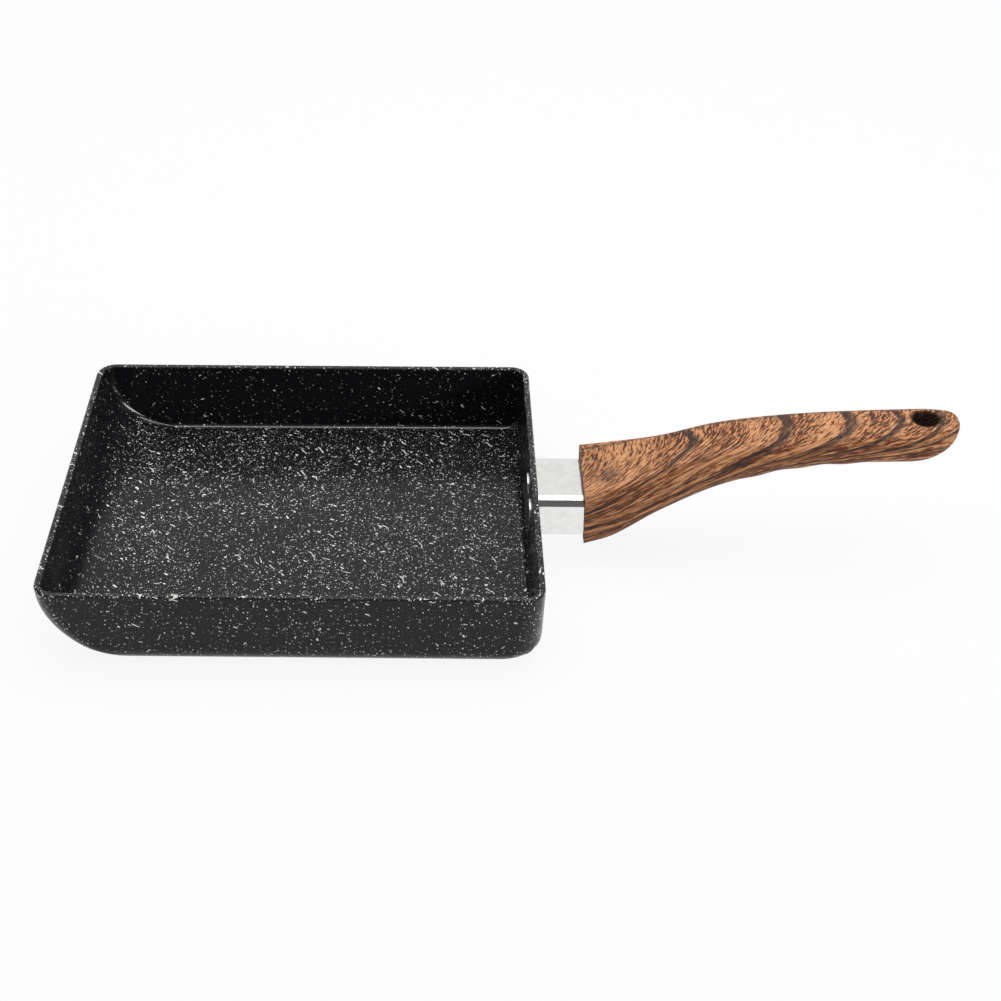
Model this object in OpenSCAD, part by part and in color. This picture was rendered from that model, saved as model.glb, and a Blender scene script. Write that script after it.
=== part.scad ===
// Rolled-omelette pan: a pressed rectangular pan with one sloped end, and a
// moulded handle held on a riveted bracket. Millimetres, +Z up, +X towards the
// handle. The origin is on the table, in the middle of the pan's length and width.

/* [Pan] */
// Length of the pan over its rim, from the sloped end to the handle wall
pan_length = 180; // [150:1:240]
// Width of the pan over its rim, in the middle of its length
pan_width = 151; // [110:1:220]
// How much wider the rim is at the handle wall than at the sloped end
width_taper = 2.9; // [0:0.1:8]
// Height of the rim above the table
pan_height = 32.5; // [30:0.5:50]
// Thickness of the upright walls
wall = 2.5; // [1.8:0.1:3.5]
// Thickness of the floor
floor_thick = 3; // [2:0.1:5]
// Outside radius of the sloped end, seen from the side
ramp_radius = 28.5; // [24:0.5:45]
// How much smaller the inside radius of the sloped end is
ramp_step = 1; // [0:0.5:3]
// Outside radius where the upright walls turn into the base
base_round = 7.5; // [5:0.5:9]
// Corner radius at the rim, seen from above
rim_corner = 7.5; // [5:0.5:20]
// Corner radius at the base, seen from above
base_corner = 13.5; // [8:0.5:25]
// Inside corner radius at the floor, seen from above
floor_corner = 3; // [1:0.5:9]
// Inside radius where the long walls meet the floor
side_crease = 1.8; // [1:0.1:5]
// How far each long wall leans in from the rim to the base
side_lean = 0.6; // [0:0.1:3]
// Rounding of both edges of the rim
rim_round = 0.9; // [0.3:0.1:1.2]

/* [Turned rings under the base] */
// Number of rings
ring_count = 6; // [2:1:8]
// Radius of the smallest ring
ring_first = 12; // [6:1:20]
// Distance from one ring to the next
ring_pitch = 8.5; // [5:0.5:10]
// Width of each ring
ring_width = 1.2; // [0.6:0.1:3]
// Depth of each ring
ring_depth = 0.3; // [0.1:0.1:0.8]

/* [Rivets] */
// Distance between the two rivets
rivet_pitch = 17; // [15:0.5:19]
// Diameter of the shank
rivet_shank = 5; // [4:0.5:5.5]
// Diameter of the domed head inside the pan
rivet_head = 12.5; // [9:0.5:14]
// Height of the domed head
rivet_dome = 1.9; // [1:0.1:3]
// Diameter of the closed end
rivet_tail = 6.6; // [6:0.1:7]
// Height of the closed end
rivet_tail_height = 1.4; // [0.8:0.1:2]
// Height of the rivets below the middle of the ferrule
rivet_drop = 3.2; // [0:0.1:3.3]

/* [Ferrule] */
// Width of the ferrule
ferrule_width = 31; // [30:0.5:33]
// Height of the ferrule
ferrule_height = 17; // [16.5:0.5:20]
// Length of the ferrule that shows between the pan and the handle
ferrule_show = 17.6; // [15:0.1:30]
// Depth to which the ferrule sits in the handle
ferrule_seat = 3; // [2:0.1:4]
// Sheet thickness of the ferrule
ferrule_wall = 1.5; // [1:0.1:1.8]
// Radius of the two upper edges
ferrule_top_round = 4.3; // [2:0.1:6]
// Radius of the two lower edges
ferrule_low_round = 1.8; // [1.8:0.1:4]
// Height of the ferrule's middle below the rim
ferrule_drop = 10.5; // [10:0.5:14]

/* [Bracket] */
// Thickness of the flange that the rivets hold
flange_thick = 3; // [2:0.5:4]
// Width of the web between the two rivets
web_width = 8.5; // [5:0.5:9]
// Height of the web between the two rivets
web_height = 11; // [9:0.5:12]
// Width of the tang inside the handle
tang_width = 16; // [12:0.5:18]
// Height of the tang
tang_height = 9; // [7:0.5:10]
// Length of the sloping part of the tang
tang_length = 32; // [24:1:36]
// Upward slope of the tang, in degrees
tang_slope = 20; // [16:1:22]

/* [Handle] */
// Length of the handle from its front face to its tip
handle_length = 143; // [130:1:200]
// Width at the front face
front_width = 35; // [34:0.5:42]
// Height at the front face
front_height = 23.5; // [22:0.5:30]
// Top of the front face above the middle of the ferrule
front_rise = 12.3; // [11:0.1:15]
// Lean of the front face, whose lower edge lies further from the pan, in degrees
front_lean = 2; // [0:0.5:5]
// Distance of the shoulder behind the front face
shoulder_at = 12; // [8:1:18]
// Width at the shoulder
shoulder_width = 34; // [30:0.5:42]
// Height at the shoulder
shoulder_height = 24.5; // [22:0.5:30]
// Top of the shoulder above the middle of the ferrule
shoulder_rise = 15.9; // [14:0.1:20]
// Distance of the throat behind the front face
throat_at = 30; // [24:1:36]
// Width at the throat
throat_width = 30; // [26:0.5:36]
// Height at the throat
throat_height = 20; // [19:0.5:26]
// Top of the throat above the middle of the ferrule
throat_rise = 21.3; // [20:0.1:25]
// Distance of the neck behind the front face
neck_at = 54; // [45:1:65]
// Width at the neck
neck_width = 26.5; // [20:0.5:32]
// Height at the neck
neck_height = 16.5; // [13:0.5:22]
// Top of the neck above the middle of the ferrule
neck_rise = 29.5; // [22:0.5:34]
// Distance of the grip behind the front face
grip_at = 88; // [75:1:105]
// Width at the grip
grip_width = 24.5; // [20:0.5:32]
// Height at the grip
grip_height = 13.5; // [12:0.5:20]
// Top of the grip above the middle of the ferrule
grip_rise = 34.7; // [24:0.1:45]
// Width that the tail tapers to
tail_width = 21.5; // [18:0.5:30]
// Height that the tail tapers to
tail_height = 16; // [11:0.5:18]
// Top of the tail above the middle of the ferrule
tail_rise = 38.6; // [28:0.1:55]
// Edge radius at the front face
front_round = 1.5; // [1:0.5:4]
// Edge radius at the shoulder
shoulder_round = 4.5; // [2:0.5:7]
// Edge radius along the neck and the grip
grip_round = 6.3; // [3:0.1:7]
// Length over which the tip rounds off, seen from above
tip_length = 14.5; // [8:0.5:18]
// Length over which the underside rises to the tip
heel_length = 20; // [10:1:26]
// Length over which the top rounds down to the tip
crown_length = 3.5; // [1:0.5:8]
// Number of finger swells under the grip
swell_count = 3; // [1:1:4]
// Distance from one finger swell to the next
swell_pitch = 16.5; // [12:0.5:20]
// Distance of the first finger swell behind the front face
swell_first = 66; // [60:1:75]
// Height of the finger swells
swell_height = 0.6; // [0:0.1:1.5]
// Diameter of the hanging hole
hang_hole = 10; // [5:0.5:11]
// Distance of the hanging hole from the tip
hang_from_tip = 13; // [11:0.5:18]

/* [Handle screw] */
// Diameter of the screw
screw_diameter = 5; // [4:0.5:5.5]
// Distance of the screw behind the handle's front face
screw_at = 14; // [12:0.5:17]
// Diameter of the screw's head
screw_head = 9; // [7:0.5:9.5]
// Height of the screw's head
screw_head_height = 3; // [2:0.1:3.5]
// Thickness of the handle's wall that the screw clamps to the tang
screw_seat = 3; // [2:0.5:3.5]
// Length of the screw's thread inside the tang
screw_bite = 8; // [5:0.5:8.5]
// Outside diameter of the spring washer
washer_diameter = 9; // [7:0.5:9.5]
// Thickness of the spring washer
washer_thick = 1.2; // [0.8:0.1:1.5]
// Width of the slot in the spring washer
washer_slot = 1; // [0.5:0.1:1.5]

/* [Clearances] */
// Gap round the shank of each rivet
rivet_gap = 0.1; // [0.05:0.05:0.3]
// Gap between the flange and the inside of the ferrule
flange_gap = 0.3; // [0.1:0.05:0.6]
// Gap round the ferrule where it sits in the handle
seat_gap = 0.2; // [0.1:0.05:0.5]
// Gap round the tang inside the handle
tang_gap = 0.3; // [0.1:0.05:0.6]
// Gap round the screw in the tang's threaded hole
thread_gap = 0.05; // [0.02:0.01:0.2]
// Gap round the screw's shank in the handle and in the washer
shank_gap = 0.25; // [0.1:0.05:0.5]
// Gap round the screw's head in its recess
head_gap = 0.7; // [0.4:0.1:1]

/* [Hidden] */

$fn = 48;
// Overshoot of a cut past the face that it opens
cut = 1;
// Steps of each corner arc of the pan and of the handle's section
corner_steps = 8;
section_steps = 6;
// Levels of the pan between base and rim, and steps of the rim's rounding
level_steps = 18;
rim_steps = 3;
// Cross sections along the handle, and along its tip
handle_steps = 40;
tip_steps = 12;

// Places along X
wall_face = pan_length / 2;
flange_face = wall_face + flange_thick;
neck_start = flange_face + rivet_tail_height + flange_gap;
handle_front = wall_face + ferrule_show;
screw_x = handle_front + screw_at;
hang_x = handle_front + handle_length - hang_from_tip;

// Heights above the table
ferrule_z = pan_height - ferrule_drop;
rivet_z = ferrule_z - rivet_drop;
tang_drop = tang_height / 2 / cos(tang_slope);
tang_under_screw = ferrule_z + screw_at * tan(tang_slope) - tang_drop;
seat_z = tang_under_screw - tang_gap / cos(tang_slope) - screw_seat;
head_z = seat_z - washer_thick;

// Inside sizes of the pan
inner_round = base_round - wall;
inner_ramp = ramp_radius - ramp_step;

// Sections along the handle
section_at = [0, shoulder_at, throat_at, neck_at, grip_at, handle_length];
section_width = [front_width, shoulder_width, throat_width, neck_width, grip_width, tail_width];
section_height = [front_height, shoulder_height, throat_height, neck_height, grip_height, tail_height];
section_rise = [front_rise, shoulder_rise, throat_rise, neck_rise, grip_rise, tail_rise];
section_round = [front_round, shoulder_round, grip_round, grip_round, grip_round, grip_round];
// Share of the tail's height above the level at which its tip closes
tip_level = 0.15;
// Bluntness of the tip: 2 closes it on an ellipse, and more is squarer
tip_blunt = 2.4;

// How far a wall has moved in at a height z above the bottom of its rounding
function inset(z, r) = z < r ? r - sqrt(r * r - (r - z) * (r - z)) : 0;

// How far a quarter circle of radius r has reached out at height z above its bottom
function reach(z, r) = z < r ? sqrt(max(r * r - (r - z) * (r - z), 0)) : r;

// Part circle from angle a to angle b round a centre, in the XY plane
function arc(cx, cy, r, a, b, steps) =
    [for (i = [0:steps]) let (t = a + (b - a) * i / steps) [cx + r * cos(t), cy + r * sin(t)]];

// Rounded rectangle from x0 to x1 and from -h to h, anticlockwise
function rounded(x0, x1, h, r, steps) = concat(
    arc(x1 - r, h - r, r, 0, 90, steps),
    arc(x0 + r, h - r, r, 90, 180, steps),
    arc(x0 + r, r - h, r, 180, 270, steps),
    arc(x1 - r, r - h, r, 270, 360, steps));

// The same at height z, widening towards the handle wall
function lifted(points, z) =
    [for (p = points) [p[0], p[1] * (1 + width_taper * p[0] / pan_length / pan_width), z]];

// Faces of a closed skin through rings of n points each, with both ends capped
function skin_faces(rings, n) = concat(
    [[for (i = [0:n - 1]) n - 1 - i]],
    [for (k = [0:rings - 2], i = [0:n - 1])
        let (a = k * n + i, b = k * n + (i + 1) % n)
        each [[a, b, b + n], [a, b + n, a + n]]],
    [[for (i = [0:n - 1]) (rings - 1) * n + i]]);

// Corner radius of the outside at height z, which grows towards the base
function corner_at(z) = rim_corner + (base_corner - rim_corner) * (1 - z / pan_height);

// Outline of the outside at height z, shrunk by grow < 0
function outer_ring(z, grow) = lifted(rounded(
    -wall_face + reach(pan_height, ramp_radius) - reach(z, ramp_radius) - grow,
    wall_face - inset(z, base_round) + grow,
    pan_width / 2 - side_lean * (1 - z / pan_height) - inset(z, base_round) + grow,
    corner_at(z) + grow, corner_steps), z);

// Corner radius of the inside at height z, which shrinks towards the floor
function inner_corner_at(z) = floor_corner
    + (rim_corner - wall - floor_corner) * (z - floor_thick) / (pan_height - floor_thick);

// Outline of the inside at height z, spread by grow > 0
function inner_ring(z, grow) =
    let (up = z - floor_thick, rise = pan_height - floor_thick)
    lifted(rounded(
        -wall_face + wall + reach(rise, inner_ramp) - reach(up, inner_ramp) - grow,
        wall_face - wall - inset(up, inner_round) + grow,
        pan_width / 2 - side_lean * (1 - z / pan_height) - wall - inset(up, side_crease) + grow,
        inner_corner_at(z) + grow, corner_steps), z);

// Levels from the bottom of a wall to its rim, closer together near the bottom
function levels(z0, z1) = [for (i = [0:level_steps]) z0 + (z1 - z0) * (1 - cos(90 * i / level_steps))];

module pan_body() {
    shoulder = pan_height - rim_round;
    outside = [for (z = levels(0, shoulder)) outer_ring(z, 0)];
    rim_out = [for (i = [1:rim_steps]) let (t = 90 * i / rim_steps)
        outer_ring(shoulder + rim_round * sin(t), rim_round * (cos(t) - 1))];
    rim_in = [for (i = [0:rim_steps - 1]) let (t = 90 - 90 * i / rim_steps)
        inner_ring(shoulder + rim_round * sin(t), rim_round * (1 - cos(t)))];
    inside = [for (i = [0:level_steps]) let (all = levels(floor_thick, shoulder))
        inner_ring(all[level_steps - i], 0)];
    rings = concat(outside, rim_out, rim_in, inside);
    points = [for (ring = rings) each ring];
    color([0.16, 0.17, 0.18])
    difference() {
        polyhedron(points, skin_faces(len(rings), len(rings[0])), convexity = 4);
        rivet_places() shank_hole();
        for (i = [0:ring_count - 1])
            base_ring(ring_first + i * ring_pitch);
    }
}

// One turned ring in the underside, round the middle of the flat base
module base_ring(radius) {
    base_middle = (reach(pan_height, ramp_radius) - base_round) / 2;
    translate([base_middle, 0, -cut])
        rotate_extrude()
            translate([radius - ring_width / 2, 0])
                square([ring_width, ring_depth + cut]);
}

// Puts its child on the axis of each rivet, on the inner face of the handle wall
module rivet_places() {
    for (side = [-1, 1])
        translate([wall_face - wall, side * rivet_pitch / 2, rivet_z])
            rotate([0, 90, 0])
                children();
}

module shank_hole() {
    translate([0, 0, -cut])
        cylinder(h = wall + flange_thick + 2 * cut, d = rivet_shank + 2 * rivet_gap);
}

module rivets() {
    // Radius of the sphere that the domed head is cut from
    dome_radius = (rivet_dome * rivet_dome + rivet_head * rivet_head / 4) / (2 * rivet_dome);
    dome_angle = asin(rivet_head / 2 / dome_radius);
    grip = wall + flange_thick;
    color([0.13, 0.13, 0.14])
    rivet_places()
        rotate_extrude()
            polygon(concat(
                [[0, -rivet_dome]],
                arc(0, dome_radius - rivet_dome, dome_radius, -90, dome_angle - 90, section_steps),
                [[rivet_shank / 2, 0],
                 [rivet_shank / 2, grip],
                 [rivet_tail / 2, grip],
                 [rivet_tail / 2, grip + rivet_tail_height / 2],
                 [rivet_tail / 2 - rivet_tail_height / 2, grip + rivet_tail_height],
                 [0, grip + rivet_tail_height]]));
}

// Outline of the ferrule across the handle, larger all round by grow; x is height
function ferrule_outline(grow) =
    let (h = ferrule_height / 2 + grow, w = ferrule_width / 2 + grow,
        top = max(ferrule_top_round + grow, 0.3), low = max(ferrule_low_round + grow, 0.3))
    concat(
        arc(h - top, w - top, top, 0, 90, section_steps),
        arc(low - h, w - low, low, 90, 180, section_steps),
        arc(low - h, low - w, low, 180, 270, section_steps),
        arc(h - top, top - w, top, 270, 360, section_steps));

// A bar along +X from x, with the ferrule's outline
module ferrule_bar(x, length, grow) {
    translate([x, 0, ferrule_z])
        rotate([0, 90, 0])
            mirror([1, 0, 0])
                linear_extrude(length)
                    polygon(ferrule_outline(grow));
}

module ferrule() {
    color([0.86, 0.86, 0.85])
    difference() {
        ferrule_bar(wall_face, ferrule_show + ferrule_seat, 0);
        ferrule_bar(wall_face - cut, ferrule_show + ferrule_seat + 2 * cut, -ferrule_wall);
    }
}

// The straight neck and the sloping tang, larger all round by grow
module tang(grow) {
    half = tang_height / 2 + grow;
    neck = handle_front - neck_start;
    mitre = half * tan(tang_slope / 2);
    reach_x = (tang_length + grow) * cos(tang_slope);
    reach_z = (tang_length + grow) * sin(tang_slope);
    side_x = half * sin(tang_slope);
    side_z = half * cos(tang_slope);
    translate([handle_front, tang_width / 2 + grow, ferrule_z])
        rotate([90, 0, 0])
            linear_extrude(tang_width + 2 * grow)
                polygon([
                    [-neck - grow, -half],
                    [mitre, -half],
                    [reach_x + side_x, reach_z - side_z],
                    [reach_x - side_x, reach_z + side_z],
                    [-mitre, half],
                    [-neck - grow, half]]);
}

module handle_bracket() {
    color([0.7, 0.71, 0.72])
    difference() {
        union() {
            ferrule_bar(wall_face, flange_thick, -ferrule_wall - flange_gap);
            translate([flange_face - cut, -web_width / 2, ferrule_z - web_height / 2])
                cube([neck_start - flange_face + 2 * cut, web_width, web_height]);
            tang(0);
        }
        rivet_places() shank_hole();
        translate([screw_x, 0, seat_z])
            cylinder(h = screw_seat + 2 * tang_height, d = screw_diameter + 2 * thread_gap);
    }
}

// Smooth curve through the values v at the places at, read at the place s
function slope(i, at, v) =
    let (a = max(i - 1, 0), b = min(i + 1, len(at) - 1))
    (v[b] - v[a]) / (at[b] - at[a]);

function part_of(s, at, i = 0) =
    i >= len(at) - 2 || s < at[i + 1] ? i : part_of(s, at, i + 1);

function along(s, at, v) =
    let (i = part_of(s, at), h = at[i + 1] - at[i], t = (s - at[i]) / h)
    (2 * pow(t, 3) - 3 * pow(t, 2) + 1) * v[i]
        + (pow(t, 3) - 2 * pow(t, 2) + t) * h * slope(i, at, v)
        + (3 * pow(t, 2) - 2 * pow(t, 3)) * v[i + 1]
        + (pow(t, 3) - pow(t, 2)) * h * slope(i + 1, at, v);

// How far the finger swells stand out under the grip at the place s
function swell(s) =
    let (d = (s - swell_first) / swell_pitch, nearest = min(max(round(d), 0), swell_count - 1))
    abs(d - nearest) < 0.5 ? swell_height * pow(cos(180 * (d - nearest)), 2) : 0;

// Share of its full size that the end of the handle keeps, closing over a length
function closing(s, length, blunt) =
    let (t = max(s - handle_length + length, 0) / length)
    pow(max(1 - pow(t, blunt), 0), 1 / blunt);

// How far the leaning front face sets a point back at height z, which fades along the handle
function lean_back(s, z) =
    (ferrule_z + front_rise - z) * tan(front_lean) * max(1 - s / throat_at, 0);

// Section of the handle at the distance s behind its front face
function handle_section(s) =
    let (
        height = along(s, section_at, section_height),
        top = ferrule_z + along(s, section_at, section_rise),
        close = top - tip_level * height,
        z1 = close + (top - close) * closing(s, crown_length, tip_blunt),
        z0 = close - (close - top + height + swell(s)) * closing(s, heel_length, 2),
        half = along(s, section_at, section_width) / 2 * closing(s, tip_length, tip_blunt),
        r = min(along(s, section_at, section_round), (z1 - z0) * 0.49, half * 0.98))
    [for (p = rounded(z0, z1, half, r, section_steps))
        [handle_front + s + lean_back(s, p[0]), -p[1], p[0]]];

// Places of the sections, even along the grip and closer together at the tip
function handle_places() =
    let (bend = handle_length - heel_length, last = handle_length - 0.02)
    concat(
        [for (i = [0:handle_steps - 1]) bend * i / handle_steps],
        [for (i = [0:tip_steps]) bend + (last - bend) * sin(90 * i / tip_steps)]);

module handle() {
    sections = [for (s = handle_places()) handle_section(s)];
    points = [for (section = sections) each section];
    color([0.55, 0.36, 0.23])
    difference() {
        polyhedron(points, skin_faces(len(sections), len(sections[0])), convexity = 4);
        ferrule_bar(handle_front - cut, ferrule_seat + cut, seat_gap);
        tang(tang_gap);
        translate([screw_x, 0, seat_z - cut])
            cylinder(h = screw_seat + tang_height / 2 + cut, d = screw_diameter + 2 * shank_gap);
        translate([screw_x, 0, ferrule_z - front_height])
            cylinder(h = seat_z - ferrule_z + front_height, d = screw_head + 2 * head_gap);
        translate([hang_x, 0, 0])
            cylinder(h = pan_height + 2 * tail_rise, d = hang_hole);
    }
}

module handle_screw() {
    shank = washer_thick + screw_seat + tang_gap + screw_bite;
    socket = screw_head_height / 2;
    color([0.75, 0.76, 0.78])
    translate([screw_x, 0, head_z])
        difference() {
            rotate_extrude()
                polygon([
                    [0, -screw_head_height],
                    [screw_head / 2 - screw_head_height / 3, -screw_head_height],
                    [screw_head / 2, -screw_head_height / 2],
                    [screw_head / 2, 0],
                    [screw_diameter / 2, 0],
                    [screw_diameter / 2, shank - screw_diameter / 6],
                    [screw_diameter / 3, shank],
                    [0, shank]]);
            // Cross recess for the driver
            for (turn = [0, 90])
                rotate([0, 0, turn])
                    translate([-screw_head / 4, -screw_diameter / 10, -screw_head_height - cut])
                        cube([screw_head / 2, screw_diameter / 5, socket + cut]);
        }
}

module spring_washer() {
    color([0.6, 0.6, 0.62])
    translate([screw_x, 0, head_z])
        difference() {
            cylinder(h = washer_thick, d = washer_diameter);
            translate([0, 0, -cut])
                cylinder(h = washer_thick + 2 * cut, d = screw_diameter + 2 * shank_gap);
            translate([0, -washer_slot / 2, -cut])
                cube([washer_diameter, washer_slot, washer_thick + 2 * cut]);
        }
}

pan_body();
rivets();
ferrule();
handle_bracket();
handle();
handle_screw();
spring_washer();
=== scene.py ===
"""A speckled rolled-omelette pan with a wood-look handle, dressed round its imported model."""

import logging
import math
from collections.abc import Callable, Sequence
from dataclasses import dataclass
from enum import Enum
from functools import reduce

import bmesh
import bpy
from mathutils import Matrix, Vector


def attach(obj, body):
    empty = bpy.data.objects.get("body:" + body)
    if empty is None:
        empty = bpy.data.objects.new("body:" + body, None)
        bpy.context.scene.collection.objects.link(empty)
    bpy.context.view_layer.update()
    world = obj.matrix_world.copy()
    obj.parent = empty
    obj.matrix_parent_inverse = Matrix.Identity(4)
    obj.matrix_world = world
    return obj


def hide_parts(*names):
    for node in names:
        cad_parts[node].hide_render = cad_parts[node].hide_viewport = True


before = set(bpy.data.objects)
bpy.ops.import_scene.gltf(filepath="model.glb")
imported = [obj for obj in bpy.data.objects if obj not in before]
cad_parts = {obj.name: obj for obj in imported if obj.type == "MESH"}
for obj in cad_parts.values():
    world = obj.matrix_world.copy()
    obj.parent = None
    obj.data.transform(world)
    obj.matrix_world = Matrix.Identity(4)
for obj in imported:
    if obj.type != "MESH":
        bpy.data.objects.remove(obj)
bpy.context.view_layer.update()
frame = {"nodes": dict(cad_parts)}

MM = 0.001
BODY = "root"
ORIGIN = (0.0, 0.0, 0.0)
WHITE = (1.0, 1.0, 1.0)
Point = tuple[float, float, float]
Colour = tuple[float, float, float]
Curve = tuple[tuple[float, float], ...]
Ease = tuple[float, ...]  # What Value.ease takes: low, high, and start and end where given
FADE = (1.0, 0.0)  # Start and end of an Ease that fades out
log = logging.getLogger("omelette_pan")


class Slot(Enum):
    """Finish of the record that a piece takes."""

    COAT = "speckled_coat"
    RIVET = "coated_rivet"
    FERRULE = "bright_aluminium"
    CASTING = "cast_aluminium"
    WOOD = "wood_look_handle"
    PLATED = "plated_steel"
    SPRING = "spring_steel"


class Facing(Enum):
    """Way that an outline faces, as the turn of its plane about Y."""

    UP = 0.0
    ALONG = math.pi / 2


def deselect() -> None:
    """Leaves nothing selected, so that an operator acts on the new piece alone."""
    if bpy.context.object is not None and bpy.context.object.mode != "OBJECT":
        bpy.ops.object.mode_set(mode="OBJECT")
    bpy.ops.object.select_all(action="DESELECT")


def pick(piece: bpy.types.Object) -> None:
    """Makes a piece the only one selected, and the active one.

    Args:
        piece: The piece.
    """
    deselect()
    bpy.context.view_layer.objects.active = piece
    piece.select_set(True)


@dataclass(frozen=True)
class Box:
    """A rectangle with rounded corners, in millimetres.

    Its upper and lower corners may differ where it faces along the handle.
    """

    LOWEST = 0.499  # Share of the height below the middle at which only the lowest corners lie

    centre: Point
    deep: float
    across: float
    high_round: float
    low_round: float
    steps: int
    facing: Facing = Facing.ALONG
    lean: float = 0.0
    splay: float = 0.0

    def draw(self) -> None:
        """Adds the rectangle to the mesh that is open, and bevels its corners."""
        bpy.ops.mesh.primitive_plane_add(
            size=MM,
            location=Vector(self.centre) * MM,
            rotation=(0, self.facing.value - self.lean, 0),
        )
        bpy.ops.transform.resize(
            value=(self.deep, self.across, self.deep),
            center_override=Vector(self.centre) * MM,
        )
        if self.splay:
            self._widen()
        if self.high_round <= 0:
            return
        if self.high_round == self.low_round:
            self._round(self.high_round)
            return
        level = self.centre[2] * MM
        Loft.select(Loft.NEW, lambda v: v.co.z > level)
        self._round(self.high_round)
        Loft.select(Loft.NEW, lambda v: v.co.z < level - self.LOWEST * self.deep * MM)
        self._round(self.low_round)

    def _widen(self) -> None:
        """Widens the end towards +X and narrows the other, in step with X."""
        middle = self.centre[0] * MM
        for side in (-1, 1):
            Loft.select(Loft.NEW, lambda v: (v.co.x - middle) * side > 0)
            end = self.centre[0] + side * self.deep / 2
            bpy.ops.transform.resize(
                value=(1, 1 + self.splay * end, 1),
                center_override=Vector(self.centre) * MM,
            )
        Loft.select(Loft.NEW)

    def _round(self, radius: float) -> None:
        """Rounds the selected corners."""
        bpy.ops.mesh.bevel(offset=radius * MM, segments=self.steps, affect="VERTICES")


@dataclass(frozen=True)
class Hoop:
    """A circle, in millimetres."""

    centre: Point
    radius: float
    steps: int
    facing: Facing = Facing.ALONG

    def draw(self) -> None:
        """Adds the circle to the mesh that is open."""
        bpy.ops.mesh.primitive_circle_add(
            vertices=self.steps,
            radius=self.radius * MM,
            location=Vector(self.centre) * MM,
            rotation=(0, self.facing.value, 0),
        )


class Loft:
    """A skin through outlines that are added one by one, each bridged to the last."""

    MARK = "outline"
    NEW = (0,)

    def __init__(self, name: str) -> None:
        """Opens an empty mesh at the origin.

        Args:
            name: Name of the piece.
        """
        deselect()
        self.piece = bpy.data.objects.new(name, bpy.data.meshes.new(name))
        bpy.context.scene.collection.objects.link(self.piece)
        pick(self.piece)
        bpy.ops.object.mode_set(mode="EDIT")
        bpy.ops.mesh.select_mode(type="VERT")
        bmesh.from_edit_mesh(self.piece.data).verts.layers.int.new(self.MARK)
        self.count = 0

    @classmethod
    def select(
        cls,
        wanted: Sequence[int],
        test: Callable[[bmesh.types.BMVert], bool] = lambda vert: True,
    ) -> None:
        """Selects corners of the mesh that is open.

        Args:
            wanted: Numbers of their outlines, where 0 is the one that is being drawn.
            test: Says whether a corner is wanted.
        """
        mesh = bmesh.from_edit_mesh(bpy.context.object.data)
        mark = mesh.verts.layers.int[cls.MARK]
        for vert in mesh.verts:
            vert.select_set(vert[mark] in wanted and test(vert))
        mesh.select_flush_mode()
        bmesh.update_edit_mesh(bpy.context.object.data)

    def add(self, outline: Box | Hoop) -> "Loft":
        """Adds an outline and bridges it to the one before.

        Args:
            outline: The outline to draw.

        Returns:
            The loft itself, so that calls can be chained.
        """
        bpy.ops.mesh.select_all(action="DESELECT")
        outline.draw()
        self.select(self.NEW)
        bpy.ops.mesh.delete(type="ONLY_FACE")
        mesh = bmesh.from_edit_mesh(self.piece.data)
        mark = mesh.verts.layers.int[self.MARK]
        self.count += 1
        for vert in mesh.verts:
            if vert[mark] == 0:
                vert[mark] = self.count
        if self.count > 1:
            self._bridge(self.count - 1, self.count)
        return self

    def _bridge(self, one: int, other: int) -> None:
        """Bridges two outlines."""
        self.select((one, other))
        bpy.ops.mesh.bridge_edge_loops()

    def cap(self, number: int) -> "Loft":
        """Closes the skin with a face over one outline.

        Args:
            number: Number of the outline, counted from 1.

        Returns:
            The loft itself.
        """
        self.select((number,))
        bpy.ops.mesh.edge_face_add()
        return self

    def solid(self) -> bpy.types.Object:
        """Caps both ends and closes the mesh, and gives back the piece."""
        return self.cap(1).cap(self.count).close()

    def ring(self) -> bpy.types.Object:
        """Bridges the last outline to the first and closes the mesh."""
        self._bridge(self.count, 1)
        return self.close()

    def close(self) -> bpy.types.Object:
        """Turns every face outwards and leaves edit mode.

        Returns:
            The piece, in object mode.
        """
        bpy.ops.mesh.select_all(action="SELECT")
        bpy.ops.mesh.normals_make_consistent(inside=False)
        mesh = bmesh.from_edit_mesh(self.piece.data)
        mesh.verts.layers.int.remove(mesh.verts.layers.int[self.MARK])
        bmesh.update_edit_mesh(self.piece.data)
        bpy.ops.object.mode_set(mode="OBJECT")
        return self.piece


def cut(piece: bpy.types.Object, cutter: bpy.types.Object) -> None:
    """Takes a cutter's shape out of a piece, and throws the cutter away.

    Args:
        piece: The piece to cut.
        cutter: The closed mesh that is taken out.
    """
    pick(piece)
    modifier = piece.modifiers.new("cut", "BOOLEAN")
    modifier.operation = "DIFFERENCE"
    modifier.solver = "EXACT"
    modifier.object = cutter
    bpy.ops.object.modifier_apply(modifier=modifier.name)
    bpy.data.objects.remove(cutter)


def soften(
    piece: bpy.types.Object,
    width: float,
    steps: int,
    near: Callable[[Vector], bool],
    sharper_than: float = 30.0,
) -> None:
    """Rounds the sharp edges of a piece in one place.

    Args:
        piece: The piece to work on.
        width: Width of the rounding, in millimetres.
        steps: Steps of the rounding.
        near: Says whether a point lies in the place.
        sharper_than: Least angle between the faces at an edge, in degrees.
    """
    pick(piece)
    bpy.ops.object.mode_set(mode="EDIT")
    bpy.ops.mesh.select_mode(type="EDGE")
    mesh = bmesh.from_edit_mesh(piece.data)
    limit = math.radians(sharper_than)
    for edge in mesh.edges:
        edge.select_set(
            len(edge.link_faces) == 2
            and edge.calc_face_angle() > limit
            and all(near(vert.co) for vert in edge.verts)
        )
    mesh.select_flush_mode()
    bmesh.update_edit_mesh(piece.data)
    bpy.ops.mesh.bevel(offset=width * MM, segments=steps, affect="EDGES")
    bpy.ops.object.mode_set(mode="OBJECT")


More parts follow.
